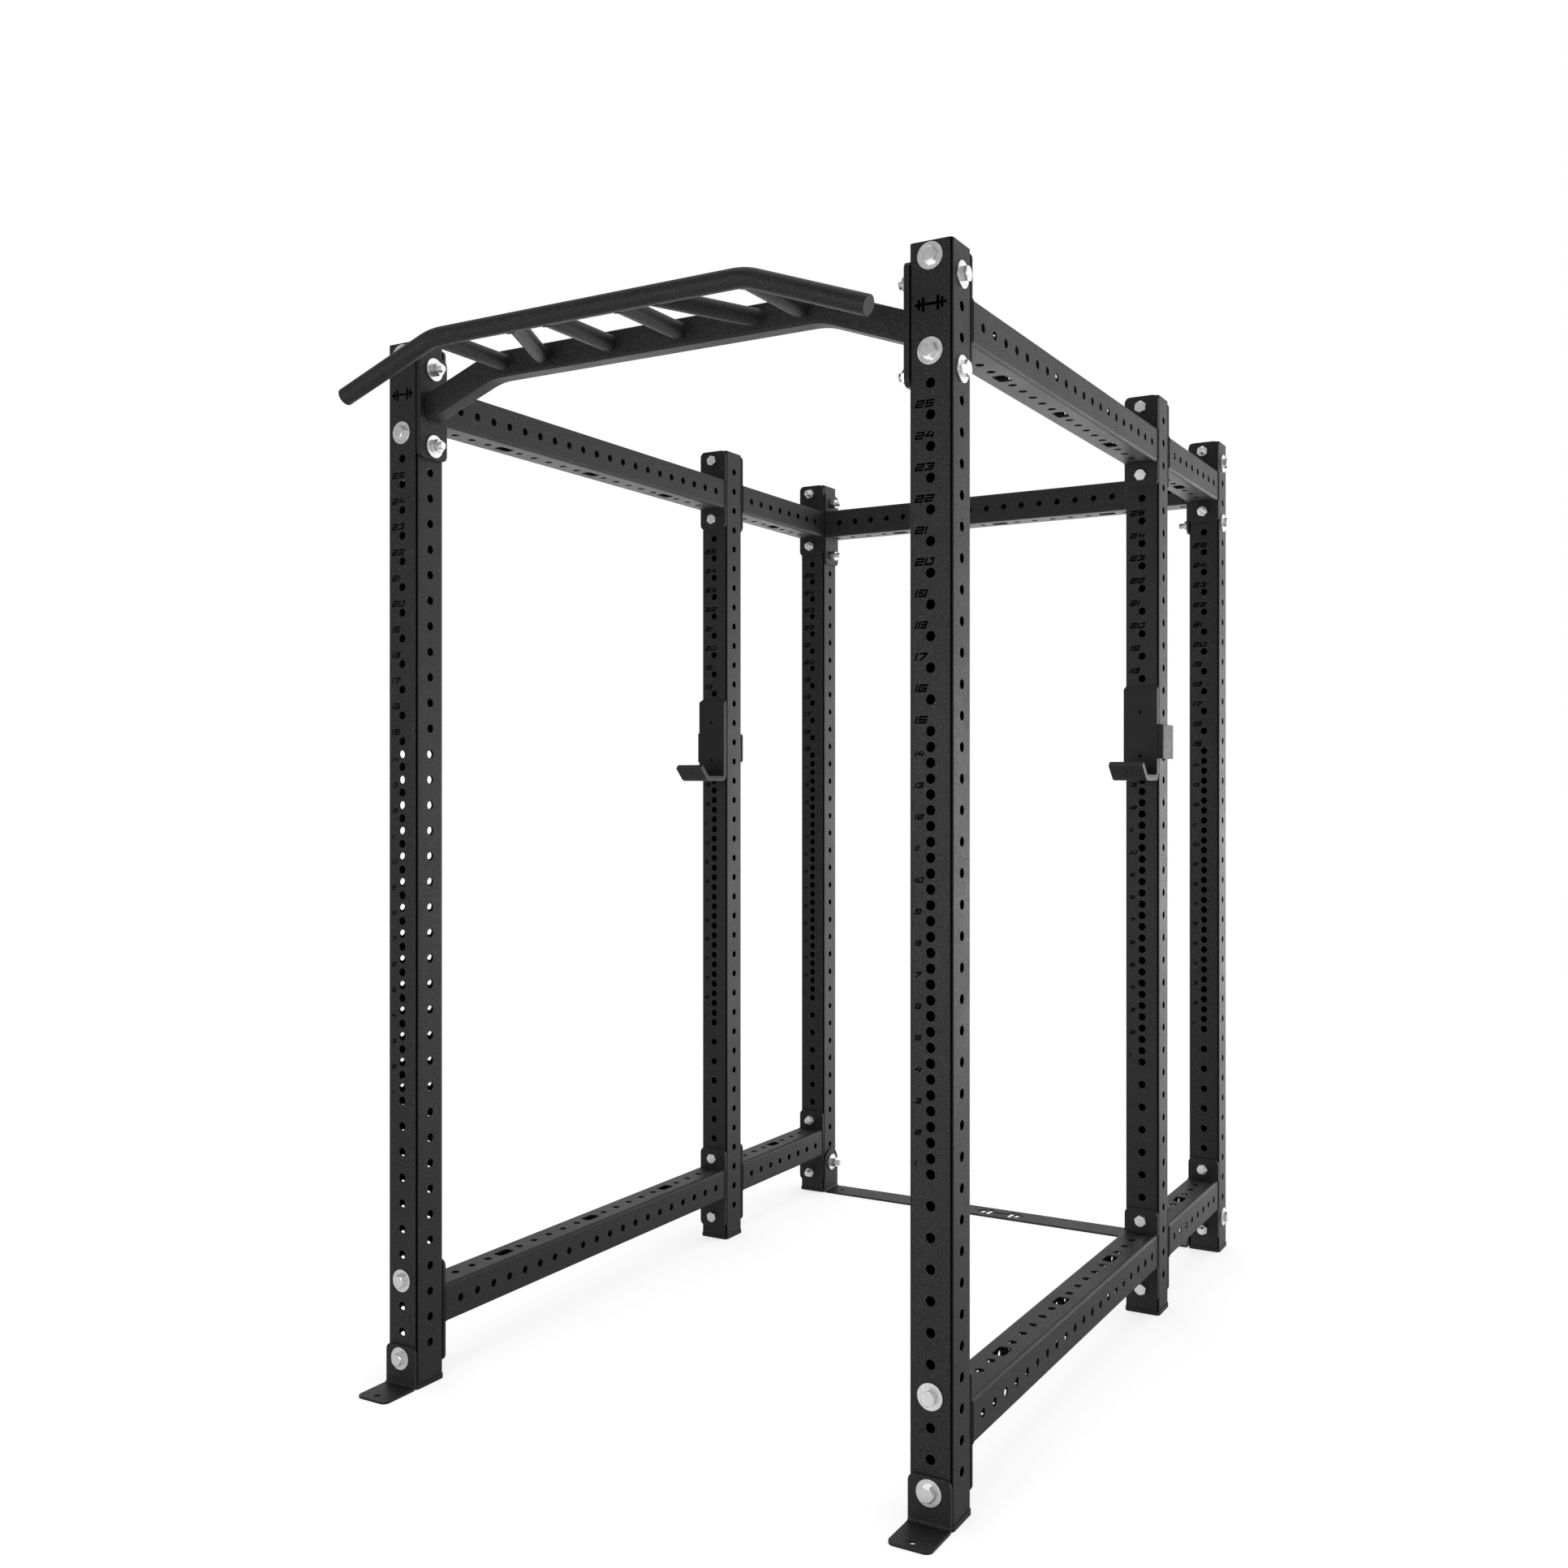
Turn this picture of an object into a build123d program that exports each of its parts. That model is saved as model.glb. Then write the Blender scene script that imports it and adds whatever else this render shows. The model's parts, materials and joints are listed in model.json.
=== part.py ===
from build123d import *
import os
from math import cos, hypot, radians, tan

# A six-post power cage of 3 x 3 in steel tube with laser-cut 5/8 in holes.
# Millimetres, +Z up.  Depth (Y) is measured from the front posts' centre line,
# forwards is -Y.  export_node() moves everything to the middle of the whole cage.

INCH = 25.4

# ---- posts ----------------------------------------------------------------
TUBE = 3 * INCH                      # outside of the square tube
WALL = 3.04                          # 11 gauge
TUBE_CORNER = 7.0                    # outside corner radius
HALF = TUBE / 2
POST_SPACING_X = 45 * INCH           # left to right, centre to centre
POST_SPACING_MID = 45 * INCH         # front posts to middle posts
POST_SPACING_REAR = 21 * INCH        # middle posts to rear posts
POST_LENGTH = 81 * INCH
FOOT_BASE = INCH / 4                 # thickness of the foot cap under a post
POST_TOP = FOOT_BASE + POST_LENGTH

POST_X = POST_SPACING_X / 2
ROWS = {
    "front": 0.0,
    "mid": POST_SPACING_MID,
    "rear": POST_SPACING_MID + POST_SPACING_REAR,
}
SIDES = {"left": -1, "right": 1}

# ---- hole pattern ---------------------------------------------------------
PITCH = 2 * INCH
HOLE = 16.7                          # clearance for 5/8 in bolts and pins
FIRST_HOLE = 22.25 * INCH            # height of hole number 1
NUMBERED_HOLES = 25
DENSE_HOLES = 15                     # holes 1 to 15 stand an inch apart
HOLES_BELOW_FIRST = 9
BOLT_STEPS = (29, 26, -7, -10)       # bolt heights, in pitches above hole 1
SIDE_FIRST = FIRST_HOLE - INCH       # side holes sit half a pitch lower
SIDE_STEPS = range(-9, 30)

# ---- beams ----------------------------------------------------------------
PLATE = INCH / 4                     # end plate thickness
PLATE_HEIGHT = 8 * INCH
PLATE_CORNER = INCH / 2
BOLT_SPACING = 6 * INCH              # the two bolts of an end plate
UPPER_PLATE_Z = FIRST_HOLE + 27.5 * PITCH
LOWER_PLATE_Z = FIRST_HOLE - 8.5 * PITCH
BEAM_STEP = INCH / 2                 # beams sit this much nearer the middle
UPPER_BEAM_Z = UPPER_PLATE_Z - BEAM_STEP
LOWER_BEAM_Z = LOWER_PLATE_Z + BEAM_STEP
CROSS_PLATE_Z = UPPER_PLATE_Z - INCH
SLOT_LENGTH = 1.75 * INCH
SLOT_WIDTH = INCH
SLOT_CORNER = 8.0
SLOT_STEP = 6                        # a slot replaces every sixth hole

# ---- pull-up bar ----------------------------------------------------------
BAR_PLATE = 3 * INCH / 8             # its end plates are thicker
BAR_PLATE_WIDTH = TUBE - 0.6         # and a shade narrower than the posts
RAIL_HEIGHT = 2 * INCH
RAIL_DEPTH = 1.5 * INCH
RAIL_WALL = 3.0
RAIL_CORNER = 5.0
RAIL_Z = 78.55 * INCH                # centre of the raised middle run
RAIL_BEND = 150.0
DROOP = 20.0                         # degrees, at both knees
BAR_DIAMETER = 33.4
BAR_WALL = 3.2
BAR_FORWARD = 211.3                  # bar axis, ahead of the front posts
BAR_KNEE = 329.3
BAR_END = 548.2
BAR_BEND = 120.0
BAR_CAP = 4.0
GRIP_DIAMETER = 1.25 * INCH
GRIP_WALL = 3.0
# (x at the bar, x at the rail) of each grip, left to right
GRIPS = ((-325.0, -325.0), (-143.6, -235.3), (-76.2, -76.2),
         (76.2, 76.2), (143.6, 235.3), (325.0, 325.0))

# ---- floor plates ---------------------------------------------------------
THIN = 3 * INCH / 16                 # bracket and floor plate thickness
THIN_BEND = 9.5                      # outside bend radius
BRACKET_HEIGHT = 3.25 * INCH
BRACKET_REACH = 85.7
BRACKET_HOLE = 12.7
BRACKET_HOLE_INSET = 19.0
STRAP_TAB_BOLT = SIDE_FIRST - 9 * PITCH
STRAP_HOLE = 12.7
STRAP_HOLE_X = 492.1

# ---- foot caps and top plugs ----------------------------------------------
CAP_PROUD = INCH / 16
CAP_LIP = 2.3
PLUG_DEPTH = 16.0
PLUG_PLATE = 2.5
PLUG_WALL = 2.0

# ---- fasteners: 5/8 in hex bolts ------------------------------------------
BOLT = 5 / 8 * INCH
BOLT_LENGTH = 4.5 * INCH
THREAD_PITCH = INCH / 11
THREAD_DEPTH = 1.1
THREAD_LENGTH = 36.0
HEX = 15 / 16 * INCH                 # across flats
HEAD_HEIGHT = 9.9
NUT_HEIGHT = 13.9
NUT_BORE = 16.0
WASHER = 1.75 * INCH
WASHER_BORE = 17.5
WASHER_THICK = 3.4

# ---- J-cups ---------------------------------------------------------------
CUP_GAP = 0.3                        # running gap to the post
CUP_STEEL = INCH / 4
CUP_LINER = INCH / 4
CUP_WIDTH = TUBE
CUP_PIN_Z = SIDE_FIRST + 15 * PITCH
CUP_BOTTOM = CUP_PIN_Z - 102.6
CUP_TOP = CUP_BOTTOM + 213.7
CUP_SEAT = 71.3                      # depth of the saddle's flat floor
CUP_LIP_RISE = 28.3                  # rise of the lip above the seat
LIP_ANGLE = 45.0
CUP_BEND = 0.75 * INCH
CUP_LINER_DROP = 4.5                 # the liner stops this far below the top
WRAP_HEIGHT = 3 * INCH
WRAP_BOTTOM = CUP_BOTTOM + 49.5
WRAP_PAD = 3 * INCH / 16             # liner between the post and the side plate
PIN = BOLT
PIN_REACH = 30.0
SCREW_HEAD = 8.0
SCREW_SINK = 2.2
SCREW_SHANK = 4.8
CUP_SCREWS = (55.3, 153.5)           # liner screw heights above the cup's bottom

# ---- numbers --------------------------------------------------------------
DIGIT_WIDE = 1.2                     # width of a digit over its height
DIGIT_STROKE = 0.27
DIGIT_SLANT = 0.35
DIGIT_GAP = 0.17
DIGIT_BRIDGE = 0.11                  # stencil bridge
MARK_DEPTH = 2.0                     # the numbers are cut this deep into the wall
LABEL_X = -28.9
LARGE_DIGIT, LARGE_RISE = 12.7, 18.5    # height, and centre above the hole's
SMALL_DIGIT, SMALL_RISE = 9.2, 14.7

WHOLE_FRONT = -(BAR_FORWARD + BAR_DIAMETER / 2)
WHOLE_REAR = ROWS["rear"] + HALF + WASHER_THICK + HEAD_HEIGHT
CENTRE_Y = (WHOLE_FRONT + WHOLE_REAR) / 2


def export_node(shape, name):
    """Write one node, moved so that the origin is under the cage's middle."""
    export_step(Pos(0, -CENTRE_Y, 0) * shape, f"parts/{name}.step")


def group(solids):
    return Compound(children=list(solids))


def tube_ring(width, height, wall, corner):
    """Section of a rectangular tube."""
    outer = RectangleRounded(width, height, corner)
    return outer - RectangleRounded(width - 2 * wall, height - 2 * wall, corner - wall)


def drill_x(y, z, diameter=HOLE, x=0.0, depth=4 * TUBE):
    return Pos(x, y, z) * Rot(0, 90, 0) * Cylinder(diameter / 2, depth)


def drill_y(x, z, diameter=HOLE, y=0.0, depth=4 * TUBE):
    return Pos(x, y, z) * Rot(90, 0, 0) * Cylinder(diameter / 2, depth)


def drill_z(x, y, diameter=HOLE, z=0.0, depth=4 * TUBE):
    return Pos(x, y, z) * Cylinder(diameter / 2, depth)


# ---- numbers and pictogram ------------------------------------------------

def digit_outlines(digit):
    """Closed outlines of an italic stencil digit, one unit high."""
    w, s, g = DIGIT_WIDE, DIGIT_STROKE, DIGIT_BRIDGE
    low, high = 0.5 - s / 2, 0.5 + s / 2
    arm = s + g
    outlines = {
        "0": [[(0, 0), (w, 0), (w, 1), (0.55, 1), (0.55, 1 - s), (w - s, 1 - s),
               (w - s, s), (s, s), (s, 1), (0, 1)]],
        "1": [[(0, 0), (s, 0), (s, 1), (0, 1)]],
        "2": [[(0, 1), (w, 1), (w, low), (s, low), (s, s), (w, s), (w, 0), (0, 0),
               (0, high), (w - s, high), (w - s, 1 - s), (0, 1 - s)]],
        "3": [[(0, 1), (w, 1), (w, 0), (0, 0), (0, s), (w - s, s), (w - s, low),
               (arm, low), (arm, high), (w - s, high), (w - s, 1 - s), (0, 1 - s)]],
        "4": [[(0, 0.27), (0, 0.5), (0.46, 1), (0.83, 1), (0.4, 0.53), (w - s, 0.53),
               (w - s, 0.8), (w, 0.8), (w, 0), (w - s, 0), (w - s, 0.27)]],
        "5": [[(w, 1), (0, 1), (0, low), (w - s, low), (w - s, s), (0, s), (0, 0),
               (w, 0), (w, high), (s, high), (s, 1 - s), (w, 1 - s)]],
        "6": [[(w, 1), (0, 1), (0, 0), (w, 0), (w, high), (arm, high), (arm, low),
               (w - s, low), (w - s, s), (s, s), (s, 1 - s), (w, 1 - s)]],
        "7": [[(0, 1), (w, 1), (w, 0.72), (0.55, 0), (0.17, 0), (w - 0.42, 1 - s),
               (0, 1 - s)]],
        "8": [[(0, 0), (s, 0), (s, 1), (0, 1)],
              [(arm, 1), (w, 1), (w, 0), (arm, 0), (arm, s), (w - s, s), (w - s, low),
               (arm, low), (arm, high), (w - s, high), (w - s, 1 - s), (arm, 1 - s)]],
        "9": [[(0, 0), (w, 0), (w, 1), (0, 1), (0, low), (w - arm, low),
               (w - arm, high), (s, high), (s, 1 - s), (w - s, 1 - s), (w - s, s),
               (0, s)]],
    }
    return outlines[digit]


def front_cutter(points):
    """Prism that sinks an outline of (x, z) points into a post's front face."""
    outline = Polyline(*[(x, -HALF - 1, z) for x, z in points], close=True)
    return extrude(make_face(outline), amount=MARK_DEPTH + 1, dir=(0, 1, 0))


def label_cutters(number):
    """Prisms that cut one number into the front of a post centred on x = 0."""
    small = number < DENSE_HOLES
    size, rise = (SMALL_DIGIT, SMALL_RISE) if small else (LARGE_DIGIT, LARGE_RISE)
    base = FIRST_HOLE + (number - 1) * PITCH + rise - size / 2
    left = LABEL_X
    cutters = []
    for digit in str(number):
        width = DIGIT_STROKE if digit == "1" else DIGIT_WIDE
        for outline in digit_outlines(digit):
            points = [(left + size * (x + DIGIT_SLANT * z), base + size * z)
                      for x, z in outline]
            cutters.append(front_cutter(points))
        left += size * (width + DIGIT_GAP)
    return cutters


def barbell_outline(length, height):
    """Generic barbell pictogram: a bar with two plates on each side."""
    bar = 0.11 * height
    # (start, end, half height) of each stretch from the middle outwards
    stretches = ((0.0, 0.18, bar), (0.18, 0.28, height / 2), (0.28, 0.31, bar),
                 (0.31, 0.41, 0.36 * height), (0.41, 0.5, bar))
    top = []
    for start, end, half in stretches:
        top += [(start * length, half), (end * length, half)]
    right = top[1:] + [(x, -z) for x, z in reversed(top[1:])]
    left = [(-x, -z) for x, z in right]
    return right + left


# ---- posts ----------------------------------------------------------------

def front_hole_heights():
    whole = [FIRST_HOLE + step * PITCH
             for step in range(-HOLES_BELOW_FIRST, NUMBERED_HOLES + 1)]
    halves = [FIRST_HOLE + (step + 0.5) * PITCH for step in range(DENSE_HOLES - 1)]
    bolts = [FIRST_HOLE + step * PITCH for step in BOLT_STEPS]
    return sorted(set(whole + halves + bolts))


def post():
    """One upright, centred on x = y = 0."""
    tube = extrude(tube_ring(TUBE, TUBE, WALL, TUBE_CORNER), POST_LENGTH)
    tube = Pos(0, 0, FOOT_BASE) * tube
    tools = [drill_y(0, z) for z in front_hole_heights()]
    tools += [drill_x(0, SIDE_FIRST + step * PITCH) for step in SIDE_STEPS]
    for number in range(1, NUMBERED_HOLES + 1):
        tools += label_cutters(number)
    mark = [(x, z + UPPER_PLATE_Z) for x, z in barbell_outline(56, 24)]
    tools.append(front_cutter(mark))
    return tube - tools


def foot_cap(flush_front=False, flush_side=0):
    """Plastic foot under a post; its rim stops where a floor plate is bolted on."""
    outer = TUBE + 2 * CAP_PROUD
    corner = TUBE_CORNER + CAP_PROUD
    cap = extrude(RectangleRounded(outer, outer, corner), FOOT_BASE + CAP_LIP)
    cap -= Pos(0, 0, FOOT_BASE) * extrude(RectangleRounded(TUBE, TUBE, TUBE_CORNER), INCH)
    spigot = TUBE - 2 * WALL - 0.4
    plug = RectangleRounded(spigot, spigot, TUBE_CORNER - WALL)
    plug -= RectangleRounded(spigot - 5, spigot - 5, 1.5)
    cap += extrude(plug, FOOT_BASE + 14)
    if flush_front:
        cap -= Pos(0, -HALF - INCH / 2, 0) * Box(2 * TUBE, INCH, 2 * INCH)
    if flush_side:
        cap -= Pos(flush_side * (HALF + INCH / 2), 0, 0) * Box(INCH, 2 * TUBE, 2 * INCH)
    return cap


def top_plug():
    """Plastic plug pressed flush into the open top of a post."""
    inner = TUBE - 2 * WALL
    corner = TUBE_CORNER - WALL
    plate = extrude(RectangleRounded(inner, inner, corner), -PLUG_PLATE)
    skirt = RectangleRounded(inner - 1, inner - 1, corner - 0.5)
    hollow = inner - 1 - 2 * PLUG_WALL
    skirt -= RectangleRounded(hollow, hollow, 1.5)
    return Pos(0, 0, POST_TOP) * (plate + extrude(skirt, -PLUG_DEPTH))


# ---- beams ----------------------------------------------------------------

def end_plate(thickness, direction, width=TUBE):
    """Bolted end plate, standing up from x = 0 towards +x or -x, centred on z = 0."""
    flat = Plane.YZ * RectangleRounded(width, PLATE_HEIGHT, PLATE_CORNER)
    plate = extrude(flat, direction * thickness)
    holes = [drill_x(0, side * BOLT_SPACING / 2) for side in (-1, 1)]
    return plate - holes


def beam_holes(length):
    """Round holes through both sides; holes and slots through top and bottom."""
    tools = []
    reach = length / 2 - 15
    step = 0.5
    while step * PITCH < reach:
        tools += [drill_y(side * step * PITCH, 0) for side in (-1, 1)]
        step += 1
    for step in range(-int(reach / PITCH), int(reach / PITCH) + 1):
        if step % SLOT_STEP:
            tools.append(drill_z(step * PITCH, 0))
        else:
            slot = RectangleRounded(SLOT_LENGTH, SLOT_WIDTH, SLOT_CORNER)
            tools.append(Pos(step * PITCH, 0, -TUBE) * extrude(slot, 2 * TUBE))
    return tools


def beam(span, beam_z, plate_z):
    """Tube along X between two faces `span` apart, and its two welded end plates."""
    length = span - 2 * PLATE
    ring = Plane.YZ * tube_ring(TUBE, TUBE, WALL, TUBE_CORNER)
    tube = extrude(ring, length / 2, both=True) - beam_holes(length)
    plates = [Pos(side * span / 2, 0, plate_z) * end_plate(PLATE, -side)
              for side in (-1, 1)]
    return Pos(0, 0, beam_z) * tube, group(plates)


def beam_nodes():
    """The eight side beams and the rear crossmember."""
    levels = {"upper": (UPPER_BEAM_Z, UPPER_PLATE_Z), "lower": (LOWER_BEAM_Z, LOWER_PLATE_Z)}
    bays = {"side_beam": ("front", "mid"), "rear_side_beam": ("mid", "rear")}
    nodes = {}
    for bay, (row_a, row_b) in bays.items():
        span = ROWS[row_b] - ROWS[row_a] - TUBE
        middle = (ROWS[row_a] + ROWS[row_b]) / 2
        for level, heights in levels.items():
            tube, plates = beam(span, *heights)
            for name, side in SIDES.items():
                place = Pos(side * POST_X, middle, 0) * Rot(0, 0, 90)
                nodes[f"{bay}_{level}_{name}"] = place * tube
                nodes[f"{bay}_{level}_{name}_plates"] = place * plates
    tube, plates = beam(POST_SPACING_X - TUBE, UPPER_BEAM_Z, CROSS_PLATE_Z)
    place = Pos(0, ROWS["rear"], 0)
    nodes["rear_crossmember"] = place * tube
    nodes["rear_crossmember_plates"] = place * plates
    return nodes


# ---- pull-up bar ----------------------------------------------------------

def bent_run(points, bend):
    """Path in an XZ plane with rounded knees."""
    return FilletPolyline(*points, radius=bend)


def rail_path():
    end = POST_X - HALF - BAR_PLATE
    knee = end - (RAIL_Z - CROSS_PLATE_Z) / tan(radians(DROOP))
    points = [(-end, 0, CROSS_PLATE_Z), (-knee, 0, RAIL_Z), (knee, 0, RAIL_Z),
              (end, 0, CROSS_PLATE_Z)]
    return points


def pullup_rail():
    """Rectangular tube that rises from both end plates to a raised middle run."""
    points = rail_path()
    # run past the plates, then cut square against them
    extra = 20.0
    drop = extra * tan(radians(DROOP))
    points[0] = (points[0][0] - extra, 0, points[0][2] - drop)
    points[-1] = (points[-1][0] + extra, 0, points[-1][2] - drop)
    path = bent_run(points, RAIL_BEND)
    start = Plane(origin=path @ 0, x_dir=(0, 1, 0), z_dir=path % 0)
    ring = start * tube_ring(RAIL_DEPTH, RAIL_HEIGHT, RAIL_WALL, RAIL_CORNER)
    rail = sweep(ring, path=path)
    end = POST_X - HALF - BAR_PLATE
    return rail & (Pos(0, 0, RAIL_Z) * Box(2 * end, TUBE, 4 * PLATE_HEIGHT))


def pullup_plates():
    face = POST_X - HALF
    return group([Pos(side * face, 0, CROSS_PLATE_Z)
                  * end_plate(BAR_PLATE, -side, BAR_PLATE_WIDTH) for side in (-1, 1)])


def bar_points(shorten=0.0):
    reach = BAR_END - BAR_KNEE - shorten * cos(radians(DROOP))
    drop = reach * tan(radians(DROOP))
    outer = BAR_KNEE + reach
    return [(-outer, -BAR_FORWARD, RAIL_Z - drop), (-BAR_KNEE, -BAR_FORWARD, RAIL_Z),
            (BAR_KNEE, -BAR_FORWARD, RAIL_Z), (outer, -BAR_FORWARD, RAIL_Z - drop)]


def bar_solid(wall=None):
    path = bent_run(bar_points(BAR_CAP), BAR_BEND)
    start = Plane(origin=path @ 0, x_dir=(0, 1, 0), z_dir=path % 0)
    ring = Circle(BAR_DIAMETER / 2)
    if wall:
        ring -= Circle(BAR_DIAMETER / 2 - wall)
    return sweep(start * ring, path=path)


def bar_caps():
    """Discs that close the two ends of the bar."""
    caps = []
    for side in (-1, 1):
        x, y, z = bar_points(BAR_CAP)[-1]
        axis = (side * cos(radians(DROOP)), 0, -tan(radians(DROOP)) * cos(radians(DROOP)))
        place = Plane(origin=(side * x, y, z), x_dir=(0, 1, 0), z_dir=axis)
        disc = extrude(place * Circle(BAR_DIAMETER / 2), BAR_CAP)
        rim = disc.faces().sort_by(Axis(place.origin, place.z_dir))[-1].edges()
        caps.append(chamfer(rim, 0.8))
    return group(caps)


def grip(x_bar, x_rail, bar):
    """Round grip from the bar to the front of the rail, coped round the bar."""
    y_bar, y_rail = -BAR_FORWARD, -RAIL_DEPTH / 2
    extra = 30.0
    run = hypot(x_rail - x_bar, y_rail - y_bar)
    along = (x_rail - x_bar, y_rail - y_bar, 0)
    place = Plane(origin=(x_bar, y_bar, RAIL_Z), x_dir=(0, 0, 1), z_dir=along)
    ring = Circle(GRIP_DIAMETER / 2) - Circle(GRIP_DIAMETER / 2 - GRIP_WALL)
    tube = extrude(place * ring, run + extra)
    tube -= Pos(0, y_rail + TUBE / 2, RAIL_Z) * Box(3 * POST_X, TUBE, TUBE)
    tube -= bar
    return tube.solids().sort_by(SortBy.VOLUME)[-1]


# ---- floor plates ---------------------------------------------------------

def bent_plate(points, thickness, side, bend, plane):
    """Section of a bent plate, from the outline of one of its faces."""
    with BuildSketch(plane) as section:
        with BuildLine():
            FilletPolyline(*points, radius=bend)
            offset(amount=thickness, side=side)
        make_face()
    return section.sketch


def foot_bracket(side):
    """L-shaped plate on a front post's front face, with its floor anchor hole."""
    face = -HALF
    points = [(face, BRACKET_HEIGHT), (face, 0), (face - BRACKET_REACH, 0)]
    section = bent_plate(points, THIN, Side.RIGHT, THIN_BEND, Plane.YZ)
    plate = extrude(section, TUBE / 2, both=True)
    top = plate.edges().filter_by(Axis.Y).group_by(Axis.Z)[-1]
    toe = plate.edges().filter_by(Axis.Z).group_by(Axis.Y)[0]
    plate = fillet(top + toe, PLATE_CORNER)
    bolt_z = FIRST_HOLE + BOLT_STEPS[3] * PITCH
    plate -= drill_y(0, bolt_z)
    plate -= drill_z(0, face - BRACKET_REACH + BRACKET_HOLE_INSET, BRACKET_HOLE)
    return Pos(side * POST_X, 0, 0) * plate


def floor_strap():
    """Flat strap between the rear posts; its upturned tabs are bolted to them."""
    face = POST_X - HALF
    top = STRAP_TAB_BOLT + HALF
    points = [(-face, top), (-face, 0), (face, 0), (face, top)]
    section = bent_plate(points, THIN, Side.LEFT, THIN_BEND, Plane.XZ)
    strap = extrude(section, TUBE / 2, both=True)
    over_bolt = Pos(0, 0, STRAP_TAB_BOLT + TUBE / 2) * Box(4 * POST_X, 2 * TUBE, TUBE)
    strap -= over_bolt - drill_x(0, STRAP_TAB_BOLT, TUBE, depth=5 * POST_X)
    strap -= drill_x(0, STRAP_TAB_BOLT, depth=4 * POST_X)
    strap -= [drill_z(side * STRAP_HOLE_X, 0, STRAP_HOLE) for side in (-1, 1)]
    mark = make_face(Polyline(*[(x, y, -1) for x, y in barbell_outline(136, 44)], close=True))
    strap -= extrude(mark, 2 * INCH, dir=(0, 0, 1))
    return Pos(0, ROWS["rear"], 0) * strap


# ---- fasteners ------------------------------------------------------------

def hexagon(height, chamfers):
    """Hexagonal prism from z = 0 up, its corners turned off at the listed ends."""
    corner = HEX / 2 / cos(radians(30))
    prism = extrude(RegularPolygon(HEX / 2, 6, major_radius=False), height)
    slope = (corner - HEX / 2) * tan(radians(30)) + 0.3
    low = slope if "bottom" in chamfers else 0
    high = height - slope if "top" in chamfers else height
    r_flat = HEX / 2 - 0.5
    points = [(0, 0), (r_flat if low else corner, 0), (corner, low), (corner, high),
              (r_flat if high < height else corner, height), (0, height)]
    unique = [p for i, p in enumerate(points) if i == 0 or p != points[i - 1]]
    turned = revolve(make_face(Plane.XZ * Polyline(*unique, close=True)), Axis.Z)
    return prism & turned


def bolt():
    """Hex bolt: head above z = 0, shank down to -BOLT_LENGTH, ringed thread."""
    radius = BOLT / 2
    points = [(0, 0.5), (radius, 0.5), (radius, -(BOLT_LENGTH - THREAD_LENGTH))]
    z = BOLT_LENGTH - THREAD_LENGTH
    while z + THREAD_PITCH < BOLT_LENGTH - 1:
        points += [(radius - THREAD_DEPTH, -(z + THREAD_PITCH / 2)), (radius, -(z + THREAD_PITCH))]
        z += THREAD_PITCH
    points += [(radius - THREAD_DEPTH, -BOLT_LENGTH), (0, -BOLT_LENGTH)]
    shank = revolve(make_face(Plane.XZ * Polyline(*points, close=True)), Axis.Z)
    return shank + hexagon(HEAD_HEIGHT, ("top",))


def nut():
    """Hex nut, from z = 0 down."""
    body = Pos(0, 0, -NUT_HEIGHT) * hexagon(NUT_HEIGHT, ("top", "bottom"))
    return body - Cylinder(NUT_BORE / 2, 4 * NUT_HEIGHT)


def washer():
    """Flat washer, from z = 0 up."""
    ring = Circle(WASHER / 2) - Circle(WASHER_BORE / 2)
    disc = extrude(ring, WASHER_THICK)
    return chamfer(disc.faces().sort_by(Axis.Z)[-1].outer_wire().edges(), 0.4)


def joint_plane(x, y, z, direction):
    """Plane under a bolt's head; the bolt runs away from `direction`."""
    return Plane(origin=(x, y, z), x_dir=(0, 0, 1), z_dir=direction)


def bolted_joints():
    """(plane under the head, clamped thickness, washer at head, washer at nut)."""
    joints = []
    forwards, rearwards = (0, -1, 0), (0, 1, 0)
    mid_face = ROWS["mid"] - HALF - PLATE
    rear_face = ROWS["rear"] + HALF
    for side in SIDES.values():
        x = side * POST_X
        for step in BOLT_STEPS:
            z = FIRST_HOLE + step * PITCH
            bracket = THIN if step == min(BOLT_STEPS) else 0
            joints += [
                (joint_plane(x, -HALF - bracket, z, forwards),
                 TUBE + PLATE + bracket, True, False),
                (joint_plane(x, mid_face, z, forwards), TUBE + 2 * PLATE, False, False),
                (joint_plane(x, rear_face, z, rearwards), TUBE + PLATE, True, False),
            ]
        outer = side * (POST_X + HALF)
        outwards = (side, 0, 0)
        for z in (CROSS_PLATE_Z - BOLT_SPACING / 2, CROSS_PLATE_Z + BOLT_SPACING / 2):
            joints += [
                (joint_plane(outer, ROWS["front"], z, outwards), TUBE + BAR_PLATE, True, True),
                (joint_plane(outer, ROWS["rear"], z, outwards), TUBE + PLATE, True, False),
            ]
        joints.append((joint_plane(outer, ROWS["rear"], STRAP_TAB_BOLT, outwards),
                       TUBE + THIN, True, True))
    return joints


def fasteners():
    """All the bolts, nuts and washers, as three groups of separate solids."""
    one_bolt, one_nut, one_washer = bolt(), nut(), washer()
    bolts, nuts, washers = [], [], []
    for index, (plane, clamped, head_washer, nut_washer) in enumerate(bolted_joints()):
        place = plane.location
        turn = Rot(0, 0, 13 * index % 60)
        lift = WASHER_THICK if head_washer else 0
        drop = clamped + (WASHER_THICK if nut_washer else 0)
        bolts.append(place * Pos(0, 0, lift) * turn * one_bolt)
        nuts.append(place * Pos(0, 0, -drop) * turn * one_nut)
        if head_washer:
            washers.append(place * one_washer)
        if nut_washer:
            washers.append(place * Pos(0, 0, -drop) * one_washer)
    return {"hex_bolts": group(bolts), "hex_nuts": group(nuts), "washers": group(washers)}


# ---- J-cups ---------------------------------------------------------------

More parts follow.
